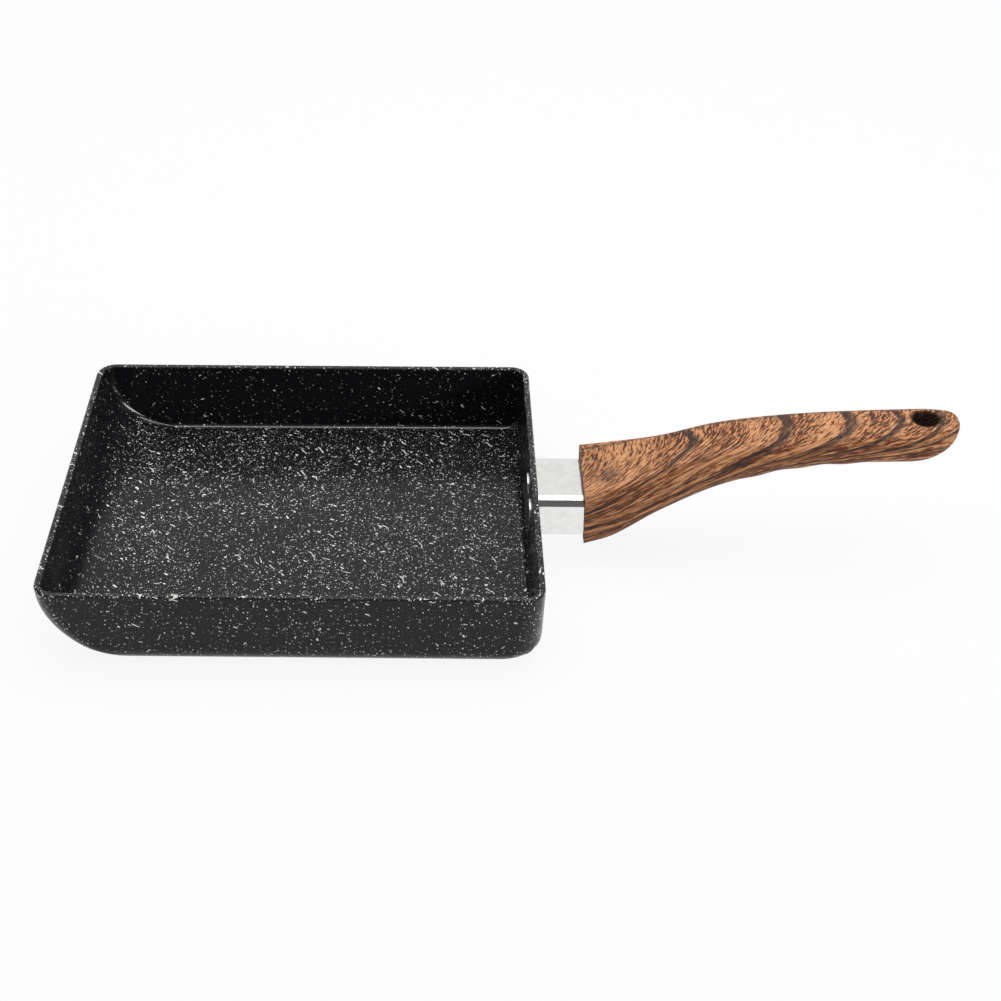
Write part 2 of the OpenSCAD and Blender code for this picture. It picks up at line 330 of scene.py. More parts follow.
def dress(
    piece: bpy.types.Object,
    node: str,
    material: bpy.types.Material,
    smooth_below: float = 35.0,
) -> None:
    """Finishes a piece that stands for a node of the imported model.

    Args:
        piece: The piece.
        node: The node that it stands for.
        material: The material.
        smooth_below: Angle in degrees under which faces shade smooth.
    """
    pick(piece)
    bpy.ops.object.shade_smooth_by_angle(angle=math.radians(smooth_below))
    modifier = piece.modifiers.new("even_shading", "WEIGHTED_NORMAL")
    modifier.keep_sharp = True
    bpy.ops.object.modifier_apply(modifier=modifier.name)
    piece.data.materials.clear()
    piece.data.materials.append(material)
    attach(piece, BODY)
    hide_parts(node)
    log.info("%s: %d faces, in place of %s", piece.name, len(piece.data.polygons), node)


Operator = Callable[["Value", "Value | float"], "Value"]


def operators(operation: str) -> tuple[Operator, Operator]:
    """Makes an operator of Value, and its reflected form.

    Args:
        operation: Operation of the Math node that they add.

    Returns:
        The two operators.
    """

    def forward(self: "Value", other: "Value | float") -> "Value":
        """Works with the value in front."""
        return self.math(operation, self, other)

    def reflected(self: "Value", other: float) -> "Value":
        """Works with the value behind."""
        return self.math(operation, other, self)

    return forward, reflected


class Value:
    """A number that varies over a surface: its operators add Math nodes."""

    def __init__(self, nodes: "Nodes", socket: bpy.types.NodeSocket) -> None:
        """Wraps a socket of a node tree."""
        self.nodes = nodes
        self.socket = socket

    def math(self, operation: str, *terms: "Value | float", clamp: bool = False) -> "Value":
        """Adds one Math node.

        Args:
            operation: The node's operation.
            terms: Its numbers, in order.
            clamp: Whether the result stays between 0 and 1.

        Returns:
            The result.
        """
        node = self.nodes.add(
            "ShaderNodeMath",
            {"operation": operation, "use_clamp": clamp},
            dict(enumerate(terms)),
        )
        return Value(self.nodes, node.outputs[0])

    __add__, __radd__ = operators("ADD")
    __sub__, __rsub__ = operators("SUBTRACT")
    __mul__, __rmul__ = operators("MULTIPLY")
    __truediv__, __rtruediv__ = operators("DIVIDE")
    __pow__, __rpow__ = operators("POWER")

    def at_least(self, other: "Value | float") -> "Value":
        """The larger of the two."""
        return self.math("MAXIMUM", self, other)

    def at_most(self, other: "Value | float") -> "Value":
        """The smaller of the two."""
        return self.math("MINIMUM", self, other)

    def size(self) -> "Value":
        """The number without its sign."""
        return self.math("ABSOLUTE", self)

    def fold(self) -> "Value":
        """The number folded to and fro between 0 and 1."""
        return self.math("PINGPONG", self, 1.0)

    def share(self) -> "Value":
        """The number held between 0 and 1."""
        return self.math("ADD", self, 0.0, clamp=True)

    def ease(
        self, low: "Value | float", high: "Value | float", start: float = 0.0, end: float = 1.0
    ) -> "Value":
        """Goes smoothly from start to end as the number goes from low to high.

        Args:
            low: The number at which the result is start.
            high: The number at which the result is end.
            start: Result at the low end.
            end: Result at the high end.

        Returns:
            The result.
        """
        node = self.nodes.add(
            "ShaderNodeMapRange",
            {"interpolation_type": "SMOOTHSTEP"},
            {"Value": self, "From Min": low, "From Max": high, "To Min": start, "To Max": end},
        )
        return Value(self.nodes, node.outputs["Result"])


Input = Value | bpy.types.NodeSocket | float | Sequence[float]


class Nodes:
    """The node tree of one material or of the world."""

    def __init__(
        self, owner: bpy.types.Material | bpy.types.World, shader: str = "Principled BSDF"
    ) -> None:
        """Opens the tree that a new material or world starts with.

        Args:
            owner: The material or the world.
            shader: Name of the tree's shader.
        """
        owner.use_nodes = True
        self.owner = owner
        self.tree = owner.node_tree
        self.shader = self.tree.nodes[shader]

    def add(
        self, kind: str, settings: dict[str, object], inputs: dict[str | int, Input]
    ) -> bpy.types.Node:
        """Adds a node.

        Args:
            kind: Type of the node.
            settings: Its settings, which are set first.
            inputs: Values or links of its sockets.

        Returns:
            The node.
        """
        node = self.tree.nodes.new(kind)
        for key, setting in settings.items():
            setattr(node, key, setting)
        for key, given in inputs.items():
            self.feed(node.inputs[key], given)
        return node

    def feed(self, socket: bpy.types.NodeSocket, given: Input) -> None:
        """Sets a socket, or links it.

        Args:
            socket: The socket.
            given: Its value, its colour as three numbers, or what is linked to it.
        """
        if isinstance(given, Value):
            given = given.socket
        if isinstance(given, bpy.types.NodeSocket):
            self.tree.links.new(given, socket)
        else:
            socket.default_value = (*given, 1.0) if socket.type == "RGBA" else given

    def set(self, **inputs: Input) -> None:
        """Sets sockets of the shader, with _ for a space in a name."""
        for key, given in inputs.items():
            self.feed(self.shader.inputs[key.replace("_", " ")], given)

    def place(self) -> bpy.types.NodeSocket:
        """Object coordinates in millimetres."""
        here = self.add("ShaderNodeTexCoord", {}, {}).outputs["Object"]
        return self.vector("SCALE", here, Scale=1 / MM)

    def normal(self) -> bpy.types.NodeSocket:
        """Normal of the surface."""
        return self.add("ShaderNodeNewGeometry", {}, {}).outputs["Normal"]

    def ray(self, kind: str) -> Value:
        """1 for the light path's rays of a kind, such as Is Camera Ray, and 0 for others."""
        return Value(self, self.add("ShaderNodeLightPath", {}, {}).outputs[kind])

    def vector(self, operation: str, *terms: Input, **inputs: Input) -> bpy.types.NodeSocket:
        """Adds a Vector Math node.

        Args:
            operation: The node's operation.
            terms: Its vectors, in order.
            inputs: Its other sockets by name.

        Returns:
            Its vector.
        """
        node = self.add(
            "ShaderNodeVectorMath", {"operation": operation}, {**dict(enumerate(terms)), **inputs}
        )
        return node.outputs["Vector"]

    def measure(self, operation: str, *terms: Input) -> Value:
        """Adds a Vector Math node whose result is a number.

        Args:
            operation: The node's operation.
            terms: Its vectors, in order.

        Returns:
            The number.
        """
        node = self.add("ShaderNodeVectorMath", {"operation": operation}, dict(enumerate(terms)))
        return Value(self, node.outputs["Value"])

    def parts(self, vector: bpy.types.NodeSocket) -> tuple[Value, Value, Value]:
        """Splits a vector into its three numbers."""
        node = self.add("ShaderNodeSeparateXYZ", {}, {"Vector": vector})
        return tuple(Value(self, node.outputs[axis]) for axis in "XYZ")

    def join(self, x: Input, y: Input, z: Input = 0.0) -> bpy.types.NodeSocket:
        """Makes a vector of three numbers."""
        return self.add("ShaderNodeCombineXYZ", {}, {"X": x, "Y": y, "Z": z}).outputs["Vector"]

    def noise(
        self, at: bpy.types.NodeSocket, period: float, detail: float, rough: float = 0.5
    ) -> Value:
        """Cloudy noise between about 0 and 1.

        Args:
            at: Where it is read, in millimetres.
            period: Size of its largest clouds, in millimetres.
            detail: Number of finer layers.
            rough: Strength of the finer layers.

        Returns:
            The noise.
        """
        node = self.add(
            "ShaderNodeTexNoise",
            {"noise_dimensions": "3D"},
            {"Vector": at, "Scale": 1 / period, "Detail": detail, "Roughness": rough},
        )
        return Value(self, node.outputs["Fac"])

    def drift(self, at: bpy.types.NodeSocket, period: float) -> bpy.types.NodeSocket:
        """Slowly turning offset, whose parts lie between about -0.5 and 0.5.

        Args:
            at: Where it is read, in millimetres.
            period: Distance over which it turns, in millimetres.

        Returns:
            The offset.
        """
        sockets = {"Vector": at, "Scale": 1 / period, "Detail": 0.0}
        return self.centre(self.add("ShaderNodeTexNoise", {}, sockets).outputs["Color"])

    def centre(self, colour: bpy.types.NodeSocket) -> bpy.types.NodeSocket:
        """Turns a colour into a vector whose parts lie between -0.5 and 0.5."""
        return self.vector("SUBTRACT", colour, (0.5, 0.5, 0.5))

    def ramp(self, at: Value, stops: Sequence[tuple[float, Colour]]) -> bpy.types.NodeSocket:
        """A colour that follows a number.

        Args:
            at: The number, from 0 to 1.
            stops: Places and colours, in order.

        Returns:
            The colour.
        """
        node = self.add("ShaderNodeValToRGB", {}, {"Fac": at})
        points = node.color_ramp.elements
        while len(points) < len(stops):
            points.new(1.0)
        for point, (place, colour) in zip(points, stops):
            point.position = place
            point.color = (*colour, 1.0)
        return node.outputs["Color"]

    def curve(self, at: Value, points: Sequence[tuple[float, float]]) -> Value:
        """A number that follows another through given points, both between 0 and 1.

        Args:
            at: The number that is followed.
            points: The points, in order.

        Returns:
            The result.
        """
        node = self.add("ShaderNodeFloatCurve", {}, {"Value": at})
        line = node.mapping.curves[0]
        while len(line.points) < len(points):
            line.points.new(1.0, 1.0)
        for point, place in zip(line.points, points):
            point.location = place
        node.mapping.update()
        return Value(self, node.outputs["Value"])

    def mix(self, share: Input, one: Input, other: Input) -> bpy.types.NodeSocket:
        """Blends two colours.

        Args:
            share: Share of the other colour.
            one: The colour at 0.
            other: The colour at 1.

        Returns:
            The blend.
        """
        node = self.add("ShaderNodeMix", {"data_type": "RGBA"}, {"Factor": share})
        for socket, tint in zip([s for s in node.inputs if s.type == "RGBA"], (one, other)):
            self.feed(socket, tint)
        return next(s for s in node.outputs if s.type == "RGBA")

    def bump(self, height: Value, depth: float, strength: float) -> bpy.types.NodeSocket:
        """Turns a height between 0 and 1 into a normal.

        Args:
            height: The height.
            depth: Depth of the relief, in millimetres.
            strength: Strength of the effect.

        Returns:
            The normal.
        """
        sockets = {"Height": height, "Distance": depth * MM, "Strength": strength}
        return self.add("ShaderNodeBump", {}, sockets).outputs["Normal"]


@dataclass(frozen=True)
class Flecks:
    """One size of speck in the coat, in millimetres. Faint is how bright its thinnest are."""

    cell: float
    length: float
    thick: float
    depth: float
    shown: float
    faint: float
    shift: float
    shifts: Point = (1.0, 1.7, 0.6)
    thinnest: float = 0.4
    notches: float = 1.6
    least_ragged: float = 0.5
    edge: tuple[float, float] = (0.8, 1.1)
    depth_edge: float = 0.95
    choice_edge: float = 0.001
    fading: float = 3.0

    def mask(
        self,
        nodes: Nodes,
        at: bpy.types.NodeSocket,
        normal: bpy.types.NodeSocket,
        density: Value,
    ) -> Value:
        """Where the flecks lie.

        Args:
            nodes: The tree to add to.
            at: Where they are read, in millimetres.
            normal: Normal of the surface.
            density: Share of the flecks that show.

        Returns:
            Nearly 1 on a large fleck, less on a small one, and 0 beside them.
        """
        moved = nodes.vector("ADD", at, tuple(self.shift * part for part in self.shifts))
        cells = nodes.add(
            "ShaderNodeTexVoronoi",
            {"feature": "F1"},
            {"Vector": moved, "Scale": 1 / self.cell, "Randomness": 1.0},
        ).outputs
        off = nodes.vector("SUBTRACT", moved, cells["Position"])
        chance, long, wide = nodes.parts(cells["Color"])
        rise = nodes.measure("DOT_PRODUCT", off, normal)
        flat = nodes.vector("SUBTRACT", off, nodes.vector("SCALE", normal, Scale=rise))
        spin = nodes.centre(cells["Color"])
        lift = nodes.measure("DOT_PRODUCT", spin, normal)
        turned = nodes.vector("SUBTRACT", spin, nodes.vector("SCALE", normal, Scale=lift))
        way = nodes.vector("NORMALIZE", turned)
        run = nodes.measure("DOT_PRODUCT", flat, way)
        reach = self.length * long
        over = run.at_least(reach * -1.0).at_most(reach)
        beside = nodes.vector("SUBTRACT", flat, nodes.vector("SCALE", way, Scale=over))
        away = nodes.measure("LENGTH", beside)
        ragged = nodes.noise(moved, self.thick * self.notches, detail=1.0) + self.least_ragged
        width = self.thick * (self.thinnest + (1.0 - self.thinnest) * wide) * ragged
        inside = away.ease(width * self.edge[0], width * self.edge[1], *FADE)
        near = rise.size().ease(self.depth * self.depth_edge, self.depth, *FADE)
        limit = density * self.shown
        picked = chance.ease(limit - self.choice_edge, limit + self.choice_edge, *FADE)
        bright = self.faint + (1.0 - self.faint) * wide**self.fading
        return inside * near * picked * bright


@dataclass(frozen=True)
class SpeckledCoat:
    """Near-black non-stick coat with cream flecks, thickest on the floor and the rim, with a
    lighter grey on the rim that is a painted sheen.
    """

    rim: float
    ground: Colour = (0.0082, 0.0090, 0.0104)
    # Lighter grey laid on the rim: a painted sheen where its curve catches light.
    rim_sheen: Colour = (0.016, 0.016, 0.017)
    cream: Colour = (0.95, 0.95, 0.90)
    rim_band_below: tuple[float, float] = (0.9, 0.3)
    rim_sheen_share: float = 0.8
    rough: Ease = (0.3, 0.7, 0.17, 0.29)
    gloss: float = 0.22
    floor_share: float = 1.0
    # Fleck share from walls facing in to walls facing out: the lower share inside is painted shade.
    wall_shares: Ease = (0.0, 20.0, 0.22, 0.5)
    rim_share: float = 0.3
    level: Ease = (0.5, 0.95)
    cloud_size: float = 24.0
    clouds: Ease = (0.25, 0.75, 0.7, 1.2)
    warp_size: float = 2.4
    warp: float = 1.3
    grain_size: float = 0.5
    fleck_relief: float = 0.35
    grain_relief: float = 0.3
    relief: float = 0.04
    strength: float = 0.5
    crease_from: Ease = (0.1, 0.3)
    crease_to: Ease = (0.9, 0.97, *FADE)
    crease_up: Ease = (0.1, 0.2)
    crease_below: tuple[float, float] = (3.0, 2.0)
    crease_rough: float = 0.1
    crease_gloss: float = 1.7
    # Cell, length, thickness, depth, share shown, faintness and shift of each size.
    flecks: tuple[Flecks, ...] = (
        Flecks(0.92, 0.12, 0.22, 0.40, 0.82, 0.11, 0.0),
        Flecks(2.0, 0.32, 0.28, 0.50, 0.20, 0.45, 31.0),
        Flecks(4.4, 0.6, 0.42, 1.1, 0.38, 0.85, 57.0),
        Flecks(7.0, 2.2, 0.23, 1.7, 0.6, 0.8, 83.0),
    )

    def _crease(self, normal: bpy.types.NodeSocket, height: Value) -> Value:
        """Where the coat shines in the creases along the long walls.

        Args:
            normal: Normal of the surface.
            height: Height over the table.

        Returns:
            1 in the creases and 0 elsewhere.
        """
        _, across, up = height.nodes.parts(normal)
        tilted = across.size().ease(*self.crease_from) * across.size().ease(*self.crease_to)
        low, high = self.crease_below
        below_rim = height.ease(self.rim - low, self.rim - high, *FADE)
        return tilted * up.ease(*self.crease_up) * below_rim

    def _density(
        self, at: bpy.types.NodeSocket, normal: bpy.types.NodeSocket, on_rim: Value
    ) -> Value:
        """Share of the flecks that show.

        Args:
            at: Place on the pan, in millimetres.
            normal: Normal of the surface.
            on_rim: How far the place is up the rim, from 0 to 1.

        Returns:
            The share.
        """
        nodes = on_rim.nodes
        outwards = nodes.measure("DOT_PRODUCT", normal, at)
        # Walls facing into the pan show fewer flecks than those facing out: painted shade.
        walls = outwards.ease(*self.wall_shares)
        level = nodes.parts(normal)[2].ease(*self.level)
        share = walls * (1.0 - level) + level * self.floor_share
        clouds = nodes.noise(at, self.cloud_size, detail=2.0).ease(*self.clouds)
        return share * clouds + on_rim * self.rim_share

    def material(self) -> bpy.types.Material:
        """Builds the coat.

        Returns:
            The material.
        """
        nodes = Nodes(bpy.data.materials.new(Slot.COAT.value))
        at, normal = nodes.place(), nodes.normal()
        height = nodes.parts(at)[2]
        low, high = self.rim_band_below
        on_rim = height.ease(self.rim - low, self.rim - high)
        density = self._density(at, normal, on_rim)
        warp = nodes.vector("SCALE", nodes.drift(at, self.warp_size), Scale=self.warp)
        bent = nodes.vector("ADD", at, warp)
        masks = [fleck.mask(nodes, bent, normal, density) for fleck in self.flecks]
        # The rim is painted lighter grey as a painted sheen, and carries more flecks.
        colour = nodes.mix(on_rim * self.rim_sheen_share, self.ground, self.rim_sheen)
        for mask in masks:
            colour = nodes.mix(mask, colour, self.cream)
        raised = reduce(Value.at_least, masks)
        grain = nodes.noise(at, self.grain_size, detail=2.0)
        high = raised * self.fleck_relief + grain * self.grain_relief
        nodes.set(
            Base_Color=colour,
            Coat_Weight=self._crease(normal, height),
            Coat_Roughness=self.crease_rough,
            Coat_IOR=self.crease_gloss,
            Roughness=grain.ease(*self.rough),
            Specular_IOR_Level=self.gloss,
            Normal=nodes.bump(high, self.relief, self.strength),
        )
        return nodes.owner


@dataclass(frozen=True)
class RivetCoat:
    """Smooth dark coat of the rivet heads, turned to bright bare metal along the brim as a painted
    highlight.
    """

    dark: Colour = (0.012, 0.012, 0.013)
    # Bright bare metal of the painted highlight along the brim.
    bright: Colour = (0.80, 0.80, 0.79)
    end_facing: Ease = (-0.94, -0.86)
    brim_facing: Ease = (-0.1, 0.1, *FADE)
    brim_highlight: Ease = (0.3, 0.6, 0.75, 1.0)
    rough: Ease = (0.3, 0.7, 0.12, 0.20)
    gloss: float = 0.6
    grain_size: float = 0.6
    relief: float = 0.02
    strength: float = 0.4

    def material(self) -> bpy.types.Material:
        """Builds the coat.

        Returns:
            The material.
        """
        nodes = Nodes(bpy.data.materials.new(Slot.RIVET.value))
        grain = nodes.noise(nodes.place(), self.grain_size, detail=3.0)
        inwards = nodes.parts(nodes.normal())[0]
        # Bright metal, mostly on the brim's rounding and a little on the dome's edge: a painted
        # highlight.
        brim_highlight = inwards.ease(*self.end_facing) * inwards.ease(*self.brim_facing)
        brim_highlight = brim_highlight * grain.ease(*self.brim_highlight)
        nodes.set(
            Base_Color=nodes.mix(brim_highlight, self.dark, self.bright),
            Metallic=brim_highlight,
            Roughness=grain.ease(*self.rough),
            Specular_IOR_Level=self.gloss,
            Normal=nodes.bump(grain, self.relief, self.strength),
        )
        return nodes.owner


@dataclass(frozen=True)
class Metal:
    """Bare metal, with fine brushing along the handle."""

    name: str
    tint: Colour
    shade: Colour
    rough: float
    brush: float
    pits: float
    brush_way: Point = (0.12, 1.0, 1.0)
    brush_size: float = 0.22
    cloud_size: float = 3.5
    clouds: Ease = (0.3, 0.7)
    cloud_rough: float = 0.08
    pit_size: float = 0.45
    relief: float = 0.03
    strength: float = 0.5

    def material(self) -> bpy.types.Material:
        """Builds the metal.

        Returns:
            The material.
        """
        nodes = Nodes(bpy.data.materials.new(self.name))
        at = nodes.place()
        stretched = nodes.vector("MULTIPLY", at, self.brush_way)
        lines = nodes.noise(stretched, self.brush_size, detail=3.0, rough=0.6)
        clouds = nodes.noise(at, self.cloud_size, detail=3.0)
        pitting = nodes.noise(at, self.pit_size, detail=3.0, rough=0.6)
        rough = self.rough + (lines - 0.5) * self.brush + (clouds - 0.5) * self.cloud_rough
        relief = lines * self.brush + pitting * self.pits
        nodes.set(
            Base_Color=nodes.mix(clouds.ease(*self.clouds), self.shade, self.tint),
            Metallic=1.0,
            Roughness=rough.share(),
            Normal=nodes.bump(relief, self.relief, self.strength),
        )
        return nodes.owner


@dataclass(frozen=True)
class Grain:
    """Noise that is drawn out in one direction, as wood grain is."""

    period: float
    stretch: float
    detail: float
    rough: float = 0.5
    seed: float = 0.0

    def read(self, across: Value, along: Value) -> Value:
        """Reads the noise.

        Args:
            across: Place across the grain, in millimetres.
            along: Place along it, in millimetres.

        Returns:
            The noise, between about 0 and 1.
        """
        nodes = across.nodes
        at = nodes.join(across, along * self.stretch, self.seed)
        return nodes.noise(at, self.period, self.detail, self.rough)


@dataclass(frozen=True)
class WoodFilm:
    """Printed film of a striped brown wood over the handle.

    The stripes cross the handle near its top and bend to run along its lower side. Depth is the
    share of the way from the handle's upper edge to its lower, as the photograph shows it, and
    round_back is how far a place lies beyond those edges, on the side that it hides.
    """

    front: float
    length: float
    middle: Curve
    hole_x: float
    hole_radius: float
    seat_z: float
    seat_half: tuple[float, float]
    tall: float = 60.0
    tilt: float = 0.7677
    half_deep: tuple[float, float] = (22.0, 12.7)
    back_chord: tuple[float, float] = (0.05, 0.3)
    thin_from: float = 75.0
    bands: Curve = (
        (42.4, 5.0), (79.4, 6.5), (103.2, 7.0), (120.8, 5.0),
        (137.5, 4.5), (145.5, 3.0), (156.0, 3.0), (169.0, 3.5),
    )
    front_bend: Curve = (
        (0.0, 2.5), (0.10, 0.8), (0.17, 0.0), (0.28, 1.6), (0.38, 5.5), (0.45, 9.5),
        (0.54, 18.5), (0.61, 27.5), (0.71, 40.0), (0.86, 72.0), (1.0, 118.0),
    )
    grip_bend: Curve = (
        (0.0, 2.0), (0.10, 0.8), (0.20, 0.3), (0.30, 1.2), (0.40, 3.0), (0.50, 5.8), (0.60, 9.8),
        (0.70, 15.0), (0.77, 20.5), (0.83, 27.0), (0.88, 35.0), (0.93, 47.0), (1.0, 75.0),
    )
    most_bend: float = 130.0
    sway: Grain = Grain(24.0, 1.5, 1.0)
    sway_by: float = 4.0
    ragged: Grain = Grain(2.0, 1.0, 2.0)
    ragged_run: float = 0.5
    ragged_by: float = 1.2
    back_by: float = 0.45
    strokes: tuple[Grain, Grain] = (Grain(0.95, 0.22, 2.0, 0.6), Grain(0.66, 0.35, 1.0, seed=9.0))
    threads: tuple[Grain, Grain] = (
        Grain(0.8, 0.1, 2.0, 0.6, 21.0),
        Grain(0.6, 0.16, 1.0, seed=33.0),
    )
    thread_share: float = 0.7
    thread_contrast: float = 0.8
    thread_from: Ease = (0.42, 0.68)
    stroke_lean: float = 34.0
    stroke_run: float = -0.35
    stroke_back: float = 2.2
    thread_lean: float = 0.22
    broad: Grain = Grain(8.0, 0.0, 2.0, seed=3.0)
    lines: Grain = Grain(2.6, 0.01, 2.0, 0.6, 7.0)
    line_width: Ease = (0.54, 0.62)
    line_strength: Ease = (0.45, 0.8, 0.25, 0.8)
    stroke_weight: float = 0.62
    hair_weight: float = 0.38
    broad_weight: float = 0.22
    stops: Point = (0.44, 0.49, 0.55)
    light: Colour = (0.66, 0.330, 0.160)
    middle_tone: Colour = (0.34, 0.127, 0.050)
    dark: Colour = (0.088, 0.028, 0.014)
    line_tint: Colour = (0.10, 0.040, 0.024)
    band_tint: Colour = (0.040, 0.023, 0.019)
    knot_tint: Colour = (0.06, 0.036, 0.028)
    # Tint of the painted shade along the handle's upper and lower edges.
    edge_shade_tint: Colour = (0.05, 0.028, 0.022)
    # Dark tint of the painted shade round the sleeve's seat and in the hanging hole.
    recess_shade: Colour = (0.012, 0.009, 0.008)
    low_bend: Ease = (0.6, 0.85)
    low_bend_run: float = 50.0
    high_bend_run: Ease = (24.0, 76.0)
    band_spread: Ease = (0.45, 0.8, 1.0, 1.5)
    band_front: Ease = (0.0, 0.9)
    band_back: tuple[float, float] = (0.4, 1.1)
    band_worn: Ease = (0.42, 0.62, 1.0, 0.72)
    knot: Point = (10.0, 0.36, 7.0)
    knot_deep: float = 44.0
    knot_worn: Ease = (0.42, 0.58, 0.95, 0.5)
    # Painted shade along the upper edge, and a weaker one along the lower.
    upper_edge_shade: Ease = (0.0, 0.03, 0.6, 0.0)
    lower_edge_shade: Ease = (0.97, 1.0, 0.0, 0.4)
    # Where the painted shade round the seat and the hole lies, and how dark it is in the hole.
    past_seat: Ease = (0.2, 0.8, *FADE)
    seat_run: Ease = (3.0, 3.5, *FADE)
    past_bore: tuple[float, float] = (0.1, 1.4)
    bore_shade: float = 0.85
    rough: Ease = (0.3, 0.7, 0.48, 0.6)
    recess_shade_rough: float = 0.35
    gloss: float = 0.18
    relief: float = 0.04
    strength: float = 0.3

    def _depth(self, run: Value, y: Value, z: Value) -> tuple[Value, Value, Value]:
        """How far a point lies under the handle's upper edge.

        Args:
            run: Distance behind the front face.
            y: Place across the handle.
            z: Height.

        Returns:
            The distance from the middle line, the depth, which folds back on the far side and
            underneath, and round_back.
        """
        points = [(s / self.length, m / self.tall) for s, m in self.middle]
        lower = run.nodes.curve(run / self.length, points) * self.tall - z
        down = lower - self.tilt * y
        half = run.ease(0.0, self.thin_from, *self.half_deep)
        chord = run.ease(0.0, self.thin_from, *self.back_chord)
        round_back = y + self.tilt * lower + down * chord
        return down, (0.5 + down / (half * 2.0)).fold(), round_back.at_least(0.0)

    def _bend(self, run: Value, depth: Value) -> Value:
        """How far the stripes have bent back towards the front face at a depth.

        Args:
            run: Distance behind the front face.
            depth: The depth.

        Returns:
            The distance.
        """
        front, grip = (
            depth.nodes.curve(depth, [(t, far / self.most_bend) for t, far in points])
            for points in (self.front_bend, self.grip_bend)
        )
        low = depth.ease(*self.low_bend)
        share = (run / self.low_bend_run).share() * low
        share = share + run.ease(*self.high_bend_run) * (1.0 - low)
        return (front * (1.0 - share) + grip * share) * self.most_bend

    def _bands(self, ring: Value, depth: Value) -> Value:
        """Where the dark bands lie, each sharp in front and soft behind.

        Args:
            ring: Place in the order of the stripes, in millimetres.
            depth: The depth.

        Returns:
            1 in a band and 0 between them.
        """
        spread = depth.ease(*self.band_spread)
        start, end = self.band_back
        stripes = []
        for place, width in self.bands:
            behind = (ring - place + width / 2) / spread
            back = behind.ease(width * start, width * end, *FADE)
            stripes.append(behind.ease(*self.band_front) * back)
        return reduce(Value.at_least, stripes)

    def _recess_shade(self, run: Value, x: Value, y: Value, z: Value) -> Value:
        """Painted shade: a dark line round the sleeve's seat, and darkening in the hanging hole
        that fades out just past its edge.

        Args:
            run: Distance behind the front face.
            x: Place along the pan.
            y: Place across the handle.
            z: Height.

        Returns:
            Nearly 1 where the shade is painted and 0 on the film.
        """
        wide, high = self.seat_half
        past_seat = (y.size() - wide).at_least((z - self.seat_z).size() - high)
        seat = past_seat.ease(*self.past_seat) * run.ease(*self.seat_run)
        start, end = (self.hole_radius + past for past in self.past_bore)
        bore = x.nodes.measure("LENGTH", x.nodes.join(x - self.hole_x, y))
        return seat.at_least(bore.ease(start, end, self.bore_shade, 0.0))

    def material(self) -> bpy.types.Material:
        """Builds the film.

        Returns:
            The material.
        """
        nodes = Nodes(bpy.data.materials.new(Slot.WOOD.value))
        x, y, z = nodes.parts(nodes.place())
        run = x - self.front
        down, depth, round_back = self._depth(run, y, z)
        sway = self.sway.read(run, down) - 0.5
        ragged = self.ragged.read(run * self.ragged_run, down) - 0.5
        bend = self._bend(run, depth)
        smooth_ring = run + bend + sway * self.sway_by + round_back * self.back_by
        ring = smooth_ring + ragged * self.ragged_by

        slant = ring + self.stroke_lean * depth * (1.0 - depth)
        along = down + run * self.stroke_run + round_back * self.stroke_back
        beside = down + run * self.thread_lean + round_back
        below = depth.ease(*self.thread_from) * self.thread_share
        calm = (1.0 - self.thread_contrast) / 2
        strokes, hairs = (
            upper.read(slant, along) * (1.0 - below)
            + (lower.read(beside, run) * self.thread_contrast + calm) * below
            for upper, lower in zip(self.strokes, self.threads)
        )
        broad = self.broad.read(ring, run) - 0.5
        tone = strokes * self.stroke_weight + hairs * self.hair_weight + broad * self.broad_weight
        tones = (self.dark, self.middle_tone, self.light)
        colour = nodes.ramp(tone, list(zip(self.stops, tones)))

        dark_lines = self.lines.read(smooth_ring, run).ease(*self.line_width)
        dark_lines = dark_lines * depth.ease(*self.line_strength)
        bands = self._bands(smooth_ring, depth) * strokes.ease(*self.band_worn)
        knot_run, knot_depth, knot_wide = self.knot
        off_knot = nodes.join(run - knot_run, (depth - knot_depth) * self.knot_deep)
        knot = nodes.measure("LENGTH", off_knot).ease(knot_wide, 0.0)
        knot = knot * hairs.ease(*self.knot_worn)
        # Painted shade: a dark line along the upper edge and a weaker one along the lower.
        edge = depth.ease(*self.upper_edge_shade).at_least(depth.ease(*self.lower_edge_shade))
        # Painted shade round the sleeve's seat and in the hanging hole.
        recess_shade_mask = self._recess_shade(run, x, y, z)
        for mask, tint in (
            (dark_lines, self.line_tint),
            (bands, self.band_tint),
            (knot, self.knot_tint),
            (edge, self.edge_shade_tint),
            (recess_shade_mask, self.recess_shade),
        ):
            colour = nodes.mix(mask, colour, tint)
        nodes.set(
            Base_Color=colour,
            Roughness=strokes.ease(*self.rough) + recess_shade_mask * self.recess_shade_rough,
            Specular_IOR_Level=self.gloss,
            Normal=nodes.bump(strokes, self.relief, self.strength),
        )
        return nodes.owner


